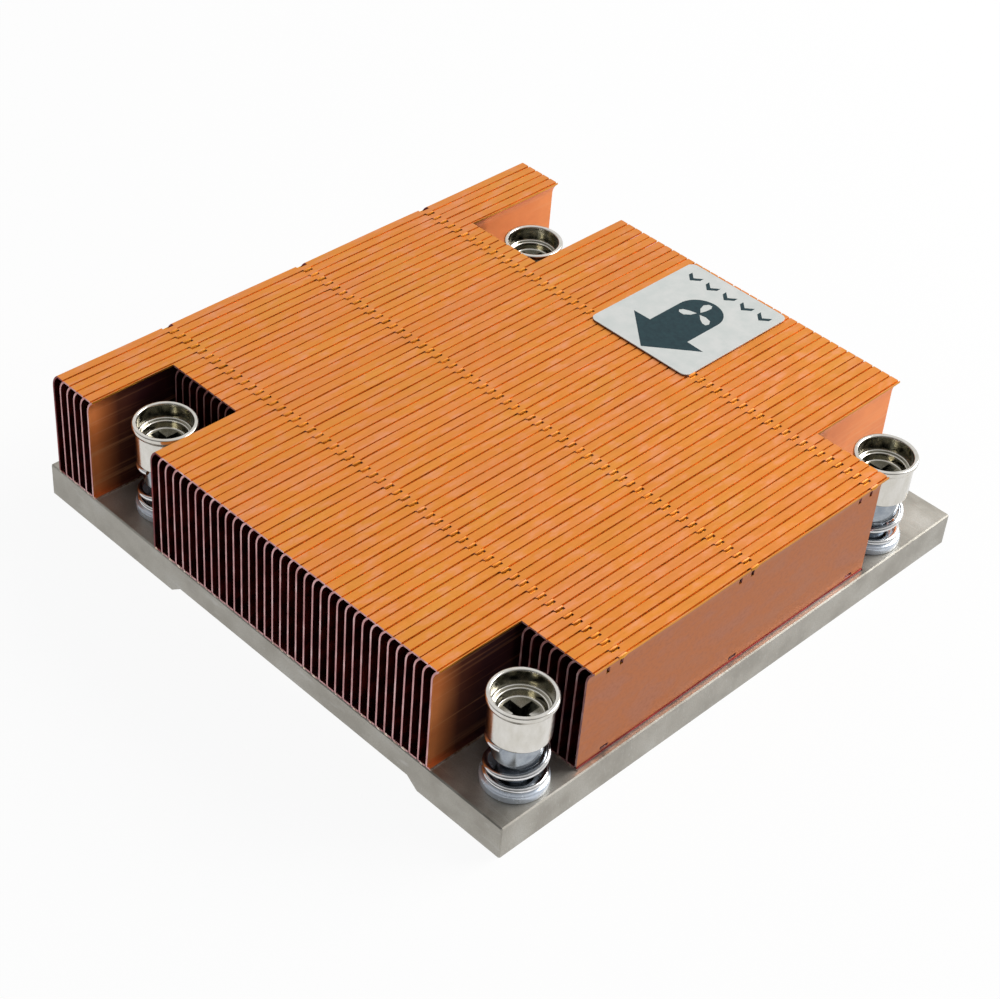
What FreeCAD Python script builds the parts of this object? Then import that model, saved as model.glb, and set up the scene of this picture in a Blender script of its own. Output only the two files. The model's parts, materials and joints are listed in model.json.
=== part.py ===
"""Passive server CPU heatsink: folded copper fins soldered on an aluminium base plate.

Frame: X runs across the fins (the stacking direction), Y along the fins (the way the
air goes), Z up.  The origin is the middle of the plate's underside.  Millimetres.
"""
import FreeCAD, Part
import os
from math import asin, cos, pi, radians, sin
import Sketcher

Vector = FreeCAD.Vector
doc = FreeCAD.newDocument("heatsink")

# ----------------------------------------------------------------- driving dimensions
SIZES = [
    # alias, value, what it is
    ("plate_width", 98.0, "base plate along X"),
    ("plate_depth", 98.0, "base plate along Y"),
    ("plate_thick", 5.6, "base plate along Z"),
    ("plate_corner", 1.5, "radius of the plate's upright corners"),
    ("centre_x", 6.8, "middle of the processor and of the screw pattern"),
    ("centre_y", -3.1, "middle of the processor and of the screw pattern"),
    ("recess_width", 52.8, "underside recess at the foot of its ramps"),
    ("recess_depth", 1.5, "underside recess"),
    ("recess_ramp", 2.0, "width of each sloping side of the recess"),
    ("screw_spacing_x", 73.6, "screw pattern along X"),
    ("screw_spacing_y", 76.5, "screw pattern along Y"),
    ("sheet", 0.3, "copper sheet of the fins"),
    ("fin_pitch", 1.66, "from one fin to the next"),
    ("fin_height", 18.5, "fins above the plate"),
    ("fin_start_x", 46.9, "outer face of the first fin, from the middle to -X"),
    ("fin_length", 97.0, "full-length fins along Y"),
    ("fin_setback", 0.1, "fins' front ends behind the plate's edge"),
    ("short_length", 62.0, "short fins between the screws, along Y"),
    ("bend_radius", 3.2, "outside of the big bend at the top"),
    ("bend_angle", 52.0, "sweep of the big bend, degrees"),
    ("foot_radius", 0.35, "outside of the sharp fold at the foot"),
    ("foot_gap", 0.12, "foot flange to the next fin"),
    ("crest_gap", 0.45, "top flange to the next fin's crest"),
    ("lip", 0.12, "flat lip where a fin has no neighbour to reach"),
    ("end_foot", 1.0, "foot flange of the last fin"),
    ("row_offset", 0.9, "middle lock row from the centre, along Y"),
    ("row_pitch", 26.6, "from one lock row to the next"),
    ("tongue_width", 2.8, "lock tongue along Y, at its root"),
    ("tongue_taper", 0.8, "narrowing of the tongue on each side"),
    ("tongue_root", 0.3, "lock tongue on its own flange"),
    ("tongue_reach", 0.55, "lock tongue past its flange, over the next crest"),
    ("tongue_rise", 0.15, "lock tongue above the flanges"),
    ("slot_lift", 0.5, "top of the side slots above the foot of the big bend"),
    ("slot_width", 0.5, "side slots of a lock, along Y"),
    ("slot_height", 0.8, "side slots of a lock, along Z"),
    ("slot_spread", 2.3, "from one side slot to the other"),
    ("foot_slot_width", 1.3, "slot above the foot flange, along Y"),
    ("foot_slot_height", 0.6, "slot above the foot flange, along Z"),
    ("head_radius", 4.9, "screw head at its rim"),
    ("head_foot_radius", 4.4, "screw head at its underside"),
    ("head_height", 6.8, "screw head"),
    ("head_wall", 0.75, "wall of the cup in the head"),
    ("cup_depth", 2.6, "rim to the ledge inside the cup"),
    ("ledge_radius", 3.3, "inner edge of the ledge"),
    ("floor_depth", 3.9, "rim to the floor of the cup"),
    ("cross_length", 5.0, "cross recess, tip to tip"),
    ("cross_width", 1.1, "arms of the cross recess"),
    ("cross_depth", 1.5, "cross recess"),
    ("collar_radius", 3.4, "collar under the head, inside the spring"),
    ("collar_height", 1.6, "collar under the head"),
    ("shank_radius", 2.4, "plain shank of the screw"),
    ("thread_radius", 1.75, "threaded tip of the screw"),
    ("neck_radius", 1.3, "neck of the screw that the clip sits on"),
    ("tip_height", 0.6, "screw tip above the underside"),
    ("running_gap", 0.3, "shank to the holes it runs in"),
    ("seat_radius", 4.8, "spring seat washer"),
    ("seat_height", 1.5, "spring seat washer"),
    ("spring_length", 7.6, "spring between its seat and the head"),
    ("spring_radius", 4.1, "middle of the spring wire, from its axis"),
    ("wire_radius", 0.42, "spring wire"),
    ("spring_turns", 2.15, "turns of the spring"),
    ("closed_turns", 0.75, "turns of the spring that lie flat on its seat"),
    ("spring_start", -134.0, "where the spring starts, in degrees about its axis from +X"),
    ("clip_radius", 3.5, "retaining clip"),
    ("clip_thick", 0.6, "retaining clip"),
    ("clip_mouth", 2.6, "open side of the retaining clip"),
    ("clip_play", 0.06, "clip to the screw's neck and to the shoulders beside it"),
    ("bore_gap", 0.6, "clip to the wall of its counterbore"),
    ("web_thick", 1.6, "plate left above each counterbore"),
    ("label_width", 20.1, "label along X"),
    ("label_length", 24.3, "label along Y"),
    ("label_thick", 0.15, "label"),
    ("label_corner", 1.2, "label corner radius"),
    ("label_x", 4.0, "middle of the label"),
    ("label_inset", 0.75, "label's edge to the fins' back ends"),
]
ROWS = 3                   # lock rows across the fins
RAIL_FINS = 6              # full-length fins outside the -X screws
LEFT_SHORT_FINS = 8        # short fins between the two -X screws
CORE_FINS = 36             # full-length fins between the screw columns
RIGHT_SHORT_FINS = 8       # short fins between the two +X screws
RUNS_PER_TURN = 10         # straight runs of wire in one turn of a spring

sheet = doc.addObject("Spreadsheet::Sheet", "Sizes")
for line, (alias, value, note) in enumerate(SIZES, start=1):
    sheet.set("A%d" % line, note)
    sheet.set("B%d" % line, str(value))
    sheet.setAlias("B%d" % line, alias)
doc.recompute()


def size(alias):
    """The value of one driving dimension."""
    return float(sheet.get(alias))


def S(text):
    """Expression text in which @name stands for a cell of the sheet."""
    return text.replace("@", "Sizes.")


# ------------------------------------------------- lengths worked out from the sheet
BEND_REACH = "@bend_radius * (1 - cos(@bend_angle * 1 deg))"
BEND_RISE = "@bend_radius * sin(@bend_angle * 1 deg)"
FLANGE_REACH = BEND_REACH + " + @fin_pitch - @crest_gap"
LIP_REACH = BEND_REACH + " + @lip"
FOOT_REACH = "@fin_pitch - @foot_gap"
FIN_FRONT = "(-@plate_depth / 2 + @fin_setback)"
SHORT_FRONT = "(@centre_y - @short_length / 2)"
FIRST_ROW = "(@centre_y + @row_offset - @row_pitch * %d)" % (ROWS // 2)
CLIP_TOP = "(@plate_thick - @web_thick)"
HEAD_FOOT = "(@plate_thick + @seat_height + @spring_length)"


# ------------------------------------------------------------------- small helpers
def bind(obj, **expressions):
    """Bind properties to expressions; a double underscore stands for a dot."""
    for name, text in expressions.items():
        obj.setExpression(name.replace("__", "."), S(text))


def new_body(label):
    body = doc.addObject("PartDesign::Body", label)
    body.Label = label
    return body


def new_sketch(body, name, plane, **offsets):
    """A sketch on one of the body's own origin planes, moved by expressions."""
    sketch = body.newObject("Sketcher::SketchObject", name)
    role = {"XY": "XY_Plane", "XZ": "XZ_Plane", "YZ": "YZ_Plane"}[plane]
    origin_plane = next(f for f in body.Origin.OriginFeatures if f.Role == role)
    sketch.AttachmentSupport = [(origin_plane, "")]
    sketch.MapMode = "FlatFace"
    for axis, text in offsets.items():
        sketch.setExpression("AttachmentOffset.Base." + axis, S(text))
    return sketch


def dimension(sketch, kind, where, value, text):
    """One driving constraint, tied to an expression."""
    index = sketch.addConstraint(Sketcher.Constraint(kind, *where, value))
    sketch.setExpression("Constraints[%d]" % index, S(text))


def corner(sketch, line, x, y):
    """Fix the first point of a line at x, y, both given as (value, expression)."""
    for kind, (value, text) in (("DistanceX", x), ("DistanceY", y)):
        if value < 0:
            dimension(sketch, kind, (line, 1, -1, 1), -value, "-(%s)" % text)
        else:
            dimension(sketch, kind, (-1, 1, line, 1), value, text)


def evaluate(text):
    """The present value of an expression of the sheet."""
    return float(getattr(sheet.evalExpression(S(text)), "Value", sheet.evalExpression(S(text))))


def polygon(sketch, corners):
    """A closed outline of straight lines through corners given as expression pairs."""
    points = [(evaluate(x), evaluate(y)) for x, y in corners]
    lines = []
    for start, end in zip(points, points[1:] + points[:1]):
        lines.append(sketch.addGeometry(Part.LineSegment(Vector(*start, 0), Vector(*end, 0))))
    for line, follower in zip(lines, lines[1:] + lines[:1]):
        sketch.addConstraint(Sketcher.Constraint("Coincident", line, 2, follower, 1))
    for line, (x, y), (px, py) in zip(lines, corners, points):
        corner(sketch, line, (px, x), (py, y))
    return lines


def rectangle(sketch, x_low, x_high, y_low, y_high):
    polygon(sketch, [(x_low, y_low), (x_high, y_low), (x_high, y_high), (x_low, y_high)])


def circle(sketch, x, y, radius):
    """A circle whose centre and radius are given as expressions."""
    px, py, pr = evaluate(x), evaluate(y), evaluate(radius)
    ring = sketch.addGeometry(Part.Circle(Vector(px, py, 0), Vector(0, 0, 1), pr))
    dimension(sketch, "Radius", (ring,), pr, radius)
    for kind, value, text in (("DistanceX", px, x), ("DistanceY", py, y)):
        if abs(value) < 1e-9:
            across = kind == "DistanceX"
            sketch.addConstraint(Sketcher.Constraint("PointOnObject", ring, 3, -2 if across else -1))
        elif value < 0:
            dimension(sketch, kind, (ring, 3, -1, 1), -value, "-(%s)" % text)
        else:
            dimension(sketch, kind, (-1, 1, ring, 3), value, text)


def pad(body, name, sketch, length, **flags):
    feature = body.newObject("PartDesign::Pad", name)
    feature.Profile = sketch
    bind(feature, Length=length)
    for flag, value in flags.items():
        setattr(feature, flag, value)
    return feature


def pocket(body, name, sketch, length, **flags):
    feature = body.newObject("PartDesign::Pocket", name)
    feature.Profile = sketch
    bind(feature, Length=length)
    for flag, value in flags.items():
        setattr(feature, flag, value)
    return feature


def turned(body, name, sketch):
    """A full turn of the sketch about its own upright axis."""
    feature = body.newObject("PartDesign::Revolution", name)
    feature.Profile = sketch
    feature.ReferenceAxis = (sketch, ["V_Axis"])
    feature.Angle = 360
    return feature


def repeat_rows(body, feature, name):
    """Repeat a lock feature at every row along Y."""
    rows = body.newObject("PartDesign::LinearPattern", name)
    rows.Originals = [feature]
    y_axis = next(f for f in body.Origin.OriginFeatures if f.Role == "Y_Axis")
    rows.Direction = (y_axis, [""])
    rows.Occurrences = ROWS
    bind(rows, Length="@row_pitch * %d" % (ROWS - 1))
    body.Tip = rows
    return rows


# -------------------------------------------------------------------------- the fins
def fin_profile(body, front, reach, foot_reach):
    """The folded section of a fin: foot flange, upright, big bend and top flange."""
    sketch = new_sketch(body, body.Label + "_section", "XZ", z="-" + front)
    t, h, ro = size("sheet"), size("fin_height"), size("bend_radius")
    rf = size("foot_radius")
    foot = evaluate(foot_reach)
    spring_line = h - evaluate(BEND_RISE)
    crest, tip = evaluate(BEND_REACH), evaluate(reach)
    under = ro - ((ro - t) ** 2 - (h - t - spring_line) ** 2) ** 0.5
    turn = radians(size("bend_angle"))
    inner_turn = asin((h - t - spring_line) / (ro - t))
    foot_centre, crest_centre = (rf, rf), (ro, spring_line)

    def line(x1, y1, x2, y2):
        return Part.LineSegment(Vector(x1, y1, 0), Vector(x2, y2, 0))

    def bend(centre, radius, low, high):
        return Part.ArcOfCircle(Part.Circle(Vector(*centre, 0), Vector(0, 0, 1), radius), low, high)

    outline = [
        line(foot, 0, rf, 0),
        bend(foot_centre, rf, pi, 1.5 * pi),
        line(0, rf, 0, spring_line),
        bend(crest_centre, ro, pi - turn, pi),
        line(crest, h, tip, h),
        line(tip, h, tip, h - t),
        line(tip, h - t, under, h - t),
        bend(crest_centre, ro - t, pi - inner_turn, pi),
        line(t, spring_line, t, t),
        line(t, t, foot, t),
        line(foot, t, foot, 0),
    ]
    sketch.addGeometry(outline, False)
    under_foot, foot_out, upright, crest_out, top, end_face = range(6)
    under_top, crest_in, inner_upright, over_foot, foot_end = range(6, 11)
    start_of = {foot_out: 2, crest_out: 2}      # these two arcs are drawn against the outline
    smooth = (under_foot, foot_out, upright, crest_in)
    for index in range(len(outline)):
        kind = "Tangent" if index in smooth else "Coincident"
        follower = (index + 1) % len(outline)
        where = (index, 3 - start_of.get(index, 1), follower, start_of.get(follower, 1))
        sketch.addConstraint(Sketcher.Constraint(kind, *where))
    for index in (under_foot, top, under_top, over_foot):
        sketch.addConstraint(Sketcher.Constraint("Horizontal", index))
    for index in (upright, end_face, inner_upright, foot_end):
        sketch.addConstraint(Sketcher.Constraint("Vertical", index))
    sketch.addConstraint(Sketcher.Constraint("Coincident", crest_out, 3, crest_in, 3))
    sketch.addConstraint(Sketcher.Constraint("PointOnObject", under_foot, 1, -1))
    sketch.addConstraint(Sketcher.Constraint("PointOnObject", upright, 1, -2))
    dimension(sketch, "Radius", (foot_out,), rf, "@foot_radius")
    dimension(sketch, "Radius", (crest_out,), ro, "@bend_radius")
    dimension(sketch, "DistanceX", (-1, 1, inner_upright, 1), t, "@sheet")
    dimension(sketch, "DistanceX", (-1, 1, under_foot, 1), foot, foot_reach)
    dimension(sketch, "DistanceX", (-1, 1, top, 2), tip, reach)
    dimension(sketch, "DistanceY", (-1, 1, top, 2), h, "@fin_height")
    dimension(sketch, "DistanceY", (end_face, 2, end_face, 1), t, "@sheet")
    dimension(sketch, "DistanceY", (-1, 1, over_foot, 1), t, "@sheet")
    dimension(sketch, "DistanceY", (-1, 1, crest_out, 3), spring_line, "@fin_height - " + BEND_RISE)
    return sketch


def add_tongues(body):
    """Lock tongues: each starts on its own flange and grips the next crest."""
    outline = new_sketch(body, body.Label + "_tongue", "XY", z="@fin_height", y=FIRST_ROW)
    root = "(%s) - @tongue_root" % FLANGE_REACH
    end = "(%s) + @tongue_reach" % FLANGE_REACH
    wide, narrow = "@tongue_width / 2", "(@tongue_width / 2 - @tongue_taper)"
    polygon(outline, [(root, "-" + wide), (end, "-" + narrow), (end, narrow), (root, wide)])
    tongue = pad(body, body.Label + "_tongues", outline, "@tongue_rise")
    repeat_rows(body, tongue, body.Label + "_tongue_rows")


def add_slots(body):
    """Slots that the lock tools leave in the outermost upright of the stack."""
    slots = new_sketch(body, body.Label + "_slot", "YZ", x=FIRST_ROW)
    top = "(@fin_height - " + BEND_RISE + " + @slot_lift)"
    for side in ("-", ""):
        middle = side + "@slot_spread / 2"
        rectangle(slots, middle + " - @slot_width / 2", middle + " + @slot_width / 2",
                  top + " - @slot_height", top)
    low = "(@sheet * 2)"
    rectangle(slots, "-@foot_slot_width / 2", "@foot_slot_width / 2",
              low, low + " + @foot_slot_height")
    slot = pocket(body, body.Label + "_slots", slots, "@fin_pitch", Midplane=True)
    repeat_rows(body, slot, body.Label + "_slot_rows")


def make_fin(label, front, length, first=False, last=False, trimmed=False):
    """One master fin, drawn with its upright at X = 0 and its foot at Z = 0."""
    body = new_body(label)
    section = fin_profile(body, front, LIP_REACH if last else FLANGE_REACH,
                          "@end_foot" if last else FOOT_REACH)
    pad(body, label + "_sheet", section, length, Reversed=True)
    doc.recompute()
    if trimmed:
        ends = new_sketch(body, label + "_trim", "XY", z="@fin_height")
        lip, past = LIP_REACH, FLANGE_REACH + " + 1"
        rectangle(ends, lip, past, FIN_FRONT + " - 1", SHORT_FRONT)
        rectangle(ends, lip, past, SHORT_FRONT + " + @short_length",
                  FIN_FRONT + " + @fin_length + 1")
        pocket(body, label + "_trimmed", ends, "@sheet * 2")
        doc.recompute()
    if first or last:
        add_slots(body)
    if not last:
        add_tongues(body)
    doc.recompute()
    return body


first_fin = make_fin("first_fin", FIN_FRONT, "@fin_length", first=True)
full_fin = make_fin("full_fin", FIN_FRONT, "@fin_length")
edge_fin = make_fin("edge_fin", FIN_FRONT, "@fin_length", trimmed=True)
short_fin = make_fin("short_fin", SHORT_FRONT, "@short_length")
end_fin = make_fin("end_fin", SHORT_FRONT, "@short_length", last=True)

nodes = []


def place_fin(label, master, index):
    """One fin of the stack: the master's shape, stood on the plate at its own pitch."""
    fin = doc.addObject("Part::Compound", label)
    fin.Label = label
    fin.Links = [master]
    bind(fin, Placement__Base__x="-@fin_start_x + @fin_pitch * %d" % index,
         Placement__Base__z="@plate_thick")
    return fin


def group(label, members):
    bundle = doc.addObject("Part::Compound", label)
    bundle.Label = label
    bundle.Links = members
    nodes.append(bundle)


index = 0
for number in range(1, RAIL_FINS + 1):
    master = {1: first_fin, RAIL_FINS: edge_fin}.get(number, full_fin)
    nodes.append(place_fin("rail_fin_%02d" % number, master, index))
    index += 1
left = []
for number in range(1, LEFT_SHORT_FINS + 1):
    left.append(place_fin("left_short_fin_%d" % number, short_fin, index))
    index += 1
group("left_short_fins", left)
for number in range(1, CORE_FINS + 1):
    master = edge_fin if number == CORE_FINS else full_fin
    nodes.append(place_fin("core_fin_%02d" % number, master, index))
    index += 1
right = []
for number in range(1, RIGHT_SHORT_FINS + 1):
    master = end_fin if number == RIGHT_SHORT_FINS else short_fin
    right.append(place_fin("right_short_fin_%d" % number, master, index))
    index += 1
group("right_short_fins", right)


# -------------------------------------------------------------------- the base plate
SCREW_SIDES = [("front_left", -1, -1), ("front_right", 1, -1),
               ("back_left", -1, 1), ("back_right", 1, 1)]


def screw_place(axis, side):
    """Expression for one coordinate of a screw."""
    return "(@centre_%s %s @screw_spacing_%s / 2)" % (axis, "+" if side > 0 else "-", axis)


def make_plate():
    body = new_body("base_plate")
    nodes.append(body)
    outline = new_sketch(body, "plate_outline", "XY")
    half_x, half_y = "@plate_width / 2", "@plate_depth / 2"
    rectangle(outline, "-" + half_x, half_x, "-" + half_y, half_y)
    slab = pad(body, "plate_slab", outline, "@plate_thick")
    doc.recompute()
    upright = ["Edge%d" % (n + 1) for n, e in enumerate(slab.Shape.Edges)
               if abs(e.tangentAt(e.FirstParameter).z) > 0.9]
    rounded = body.newObject("PartDesign::Fillet", "plate_corners")
    rounded.Base = (slab, upright)
    bind(rounded, Radius="@plate_corner")

    recess = new_sketch(body, "recess_section", "XZ")
    low = "@centre_x - @recess_width / 2"
    high = "@centre_x + @recess_width / 2"
    polygon(recess, [(low, "-@recess_depth"), (low, "0"), (low + " + @recess_ramp", "@recess_depth"),
                     (high + " - @recess_ramp", "@recess_depth"), (high, "0"),
                     (high, "-@recess_depth")])
    pocket(body, "underside_recess", recess, "@plate_depth * 2", Midplane=True)

    holes = new_sketch(body, "hole_pattern", "XY")
    bores = new_sketch(body, "counterbore_pattern", "XY")
    for name, side_x, side_y in SCREW_SIDES:
        x, y = screw_place("x", side_x), screw_place("y", side_y)
        circle(holes, x, y, "@shank_radius + @running_gap")
        circle(bores, x, y, "@clip_radius + @bore_gap")
    pocket(body, "shank_holes", holes, "@plate_thick * 2", Reversed=True)
    pocket(body, "clip_counterbores", bores, "@plate_thick - @web_thick", Reversed=True)
    doc.recompute()


make_plate()


# ------------------------------------------------- captive screws and what they carry
def at_screw(obj, side_x, side_y):
    bind(obj, Placement__Base__x=screw_place("x", side_x), Placement__Base__y=screw_place("y", side_y))


def make_screw(label):
    """Captive screw: cup-shaped head with a cross recess, collar, shank, neck and threaded end."""
    body = new_body(label)
    rim = HEAD_FOOT + " + @head_height"
    neck_low = CLIP_TOP + " - @clip_thick - @clip_play"
    neck_high = CLIP_TOP + " + @clip_play"
    inner = "@head_radius - @head_wall"
    profile = [
        ("0", "@tip_height"),
        ("@thread_radius", "@tip_height"),
        ("@thread_radius", neck_low),
        ("@neck_radius", neck_low),
        ("@neck_radius", neck_high),
        ("@shank_radius", neck_high),
        ("@shank_radius", HEAD_FOOT + " - @collar_height"),
        ("@collar_radius", HEAD_FOOT + " - @collar_height"),
        ("@collar_radius", HEAD_FOOT),
        ("@head_foot_radius", HEAD_FOOT),
        ("@head_radius", rim),
        (inner, rim),
        (inner, rim + " - @cup_depth"),
        ("@ledge_radius", rim + " - @cup_depth"),
        ("@ledge_radius", rim + " - @floor_depth"),
        ("0", rim + " - @floor_depth"),
    ]
    section = new_sketch(body, label + "_section", "XZ")
    polygon(section, profile)
    turned(body, label + "_turned", section)
    cross = new_sketch(body, label + "_cross_outline", "XY", z=rim + " - @floor_depth")
    arm, half = "@cross_length / 2", "@cross_width / 2"
    polygon(cross, [("-" + arm, "-" + half), ("-" + half, "-" + half), ("-" + half, "-" + arm),
                    (half, "-" + arm), (half, "-" + half), (arm, "-" + half),
                    (arm, half), (half, half), (half, arm),
                    ("-" + half, arm), ("-" + half, half), ("-" + arm, half)])
    pocket(body, label + "_cross", cross, "@cross_depth")
    return body


def make_seat(label):
    """Spring seat: a thick washer."""
    body = new_body(label)
    section = new_sketch(body, label + "_section", "XZ")
    rectangle(section, "@shank_radius + @running_gap", "@seat_radius",
              "@plate_thick", "@plate_thick + @seat_height")
    turned(body, label + "_turned", section)
    return body


def make_spring(label):
    """Compression spring between its seat and the head: a six-sided wire through a helix of sections."""
    coil = doc.addObject("Part::Feature", label)
    coil.Label = label
    foot = evaluate("@plate_thick + @seat_height + @wire_radius")
    rise = evaluate("@spring_length - 2 * @wire_radius")
    wire_corner = size("wire_radius") / cos(pi / 6)
    turns, closed = size("spring_turns"), size("closed_turns")
    runs = round(turns * RUNS_PER_TURN)
    sections = []
    for n in range(runs + 1):
        turned_by = turns * n / runs
        around = radians(size("spring_start")) + 2 * pi * turned_by
        height = foot + rise * max(0, turned_by - closed) / (turns - closed)
        section = []
        for side in range(7):
            out = size("spring_radius") + wire_corner * cos(side * pi / 3)
            up = wire_corner * sin(side * pi / 3)
            section.append(Vector(out * cos(around), out * sin(around), height + up))
        sections.append(Part.makePolygon(section))
    coil.Shape = Part.makeLoft(sections, True, True)
    return coil


def make_clip(label):
    """Retaining clip: a flat ring, open on one side, round the neck of the screw."""
    body = new_body(label)
    flat = new_sketch(body, label + "_outline", "XY", z=CLIP_TOP + " - @clip_thick")
    circle(flat, "0", "0", "@clip_radius")
    pad(body, label + "_disc", flat, "@clip_thick")
    opening = new_sketch(body, label + "_opening", "XY", z=CLIP_TOP)
    circle(opening, "0", "0", "@neck_radius + @clip_play")
    pocket(body, label + "_hole", opening, "@clip_thick")
    mouth = new_sketch(body, label + "_mouth_outline", "XY", z=CLIP_TOP)
    rectangle(mouth, "0", "@clip_radius + 1", "-@clip_mouth / 2", "@clip_mouth / 2")
    pocket(body, label + "_mouth", mouth, "@clip_thick")
    return body


for maker, kind in ((make_screw, "screw"), (make_spring, "spring"), (make_clip, "clip")):
    for side, side_x, side_y in SCREW_SIDES:
        piece = maker("%s_%s" % (kind, side))
        at_screw(piece, side_x, side_y)
        nodes.append(piece)

seats = []
for side, side_x, side_y in SCREW_SIDES:
    seat = make_seat("seat_" + side)
    at_screw(seat, side_x, side_y)
    seats.append(seat)
group("spring_seats", seats)


# ------------------------------------------------------------------------- the label
def make_label():
    body = new_body("label")
    nodes.append(body)
    face = new_sketch(body, "label_outline", "XY", z="@plate_thick + @fin_height + @tongue_rise")
    back = FIN_FRONT + " + @fin_length - @label_inset"
    rectangle(face, "@label_x - @label_width / 2", "@label_x + @label_width / 2",
              back + " - @label_length", back)
    sticker = pad(body, "label_sheet", face, "@label_thick")
    doc.recompute()
    upright = ["Edge%d" % (n + 1) for n, e in enumerate(sticker.Shape.Edges)
               if abs(e.tangentAt(e.FirstParameter).z) > 0.9]
    rounded = body.newObject("PartDesign::Fillet", "label_corners")
    rounded.Base = (sticker, upright)
    bind(rounded, Radius="@label_corner")


make_label()

# ------------------------------------------------------------------ check and export
doc.recompute()
for obj in doc.Objects:
    if "Invalid" in obj.State or "Error" in obj.State:
        raise RuntimeError("%s failed: %s" % (obj.Name, obj.State))
for node in nodes:
    if node.Shape.isNull() or not node.Shape.isValid():
        raise RuntimeError("%s has no valid shape" % node.Label)

os.makedirs("parts", exist_ok=True)
for node in nodes:
    node.Shape.exportStep("parts/%s.step" % node.Label)
print("nodes:", len(nodes), " solids:", sum(len(node.Shape.Solids) for node in nodes))
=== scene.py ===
"""Passive processor heatsink, dressed for its picture: folded copper fins on a metal plate, four
spring screws and a plain label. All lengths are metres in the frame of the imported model."""
import json
import math
import random

import bmesh
import bpy
from mathutils import Matrix, Vector


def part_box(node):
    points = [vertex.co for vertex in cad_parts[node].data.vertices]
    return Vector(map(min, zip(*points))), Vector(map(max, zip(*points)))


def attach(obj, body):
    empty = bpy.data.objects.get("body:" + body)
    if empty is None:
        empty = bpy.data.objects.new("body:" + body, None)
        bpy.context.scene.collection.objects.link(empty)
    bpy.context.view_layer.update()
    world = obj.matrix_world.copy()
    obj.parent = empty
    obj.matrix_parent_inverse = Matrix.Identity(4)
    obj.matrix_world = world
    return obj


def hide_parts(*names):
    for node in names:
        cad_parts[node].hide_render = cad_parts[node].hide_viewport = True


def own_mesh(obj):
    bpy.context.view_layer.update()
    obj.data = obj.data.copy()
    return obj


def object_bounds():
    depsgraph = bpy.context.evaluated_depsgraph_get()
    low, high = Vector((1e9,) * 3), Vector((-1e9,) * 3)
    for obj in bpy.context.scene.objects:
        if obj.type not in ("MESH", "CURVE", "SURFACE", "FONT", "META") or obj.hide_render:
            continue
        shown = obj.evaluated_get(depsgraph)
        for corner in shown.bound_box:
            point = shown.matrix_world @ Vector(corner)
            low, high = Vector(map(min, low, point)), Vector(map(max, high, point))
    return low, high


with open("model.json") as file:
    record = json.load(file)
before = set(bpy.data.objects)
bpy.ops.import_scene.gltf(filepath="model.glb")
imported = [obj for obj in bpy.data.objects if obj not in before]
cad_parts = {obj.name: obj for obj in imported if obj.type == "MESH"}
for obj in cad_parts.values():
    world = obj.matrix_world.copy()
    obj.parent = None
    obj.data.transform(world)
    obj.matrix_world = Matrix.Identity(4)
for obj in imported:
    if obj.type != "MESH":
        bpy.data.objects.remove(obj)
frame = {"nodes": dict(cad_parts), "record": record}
cad_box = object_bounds()

MM = 0.001
ROOT = "heatsink"
SIDES = ("front_left", "front_right", "back_left", "back_right")


def span(node):
    """Where a node of the frame starts and ends along Y."""
    low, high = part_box(node)
    return low.y, high.y


FULL_SPAN, SHORT_SPAN = span("core_fin_10"), span("left_short_fins")

# ------------------------------------------------------------------ camera
AZIMUTH, ELEVATION, ROLL = math.radians(42.07), math.radians(39.533), math.radians(5.078)
DISTANCE = 334.98 * MM
AIM_RIGHT, AIM_UP = -0.231 * MM, 2.737 * MM      # where the view's middle passes the origin
LENS, SENSOR = 77.55, 36.0


def make_camera():
    back = Vector((math.sin(AZIMUTH) * math.cos(ELEVATION), -math.cos(AZIMUTH) * math.cos(ELEVATION),
                   math.sin(ELEVATION)))
    right = Vector((math.cos(AZIMUTH), math.sin(AZIMUTH), 0))
    up = back.cross(right)
    tilted_right = right * math.cos(ROLL) + up * math.sin(ROLL)
    tilted_up = up * math.cos(ROLL) - right * math.sin(ROLL)
    data = bpy.data.cameras.new("camera")
    data.lens, data.sensor_width = LENS, SENSOR
    data.clip_start, data.clip_end = 0.01, 10
    camera = bpy.data.objects.new("camera", data)
    bpy.context.scene.collection.objects.link(camera)
    place = tilted_right * AIM_RIGHT + tilted_up * AIM_UP + back * DISTANCE
    camera.matrix_world = Matrix((
        (tilted_right.x, tilted_up.x, back.x, place.x),
        (tilted_right.y, tilted_up.y, back.y, place.y),
        (tilted_right.z, tilted_up.z, back.z, place.z),
        (0, 0, 0, 1)))
    bpy.context.scene.camera = camera


make_camera()


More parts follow.
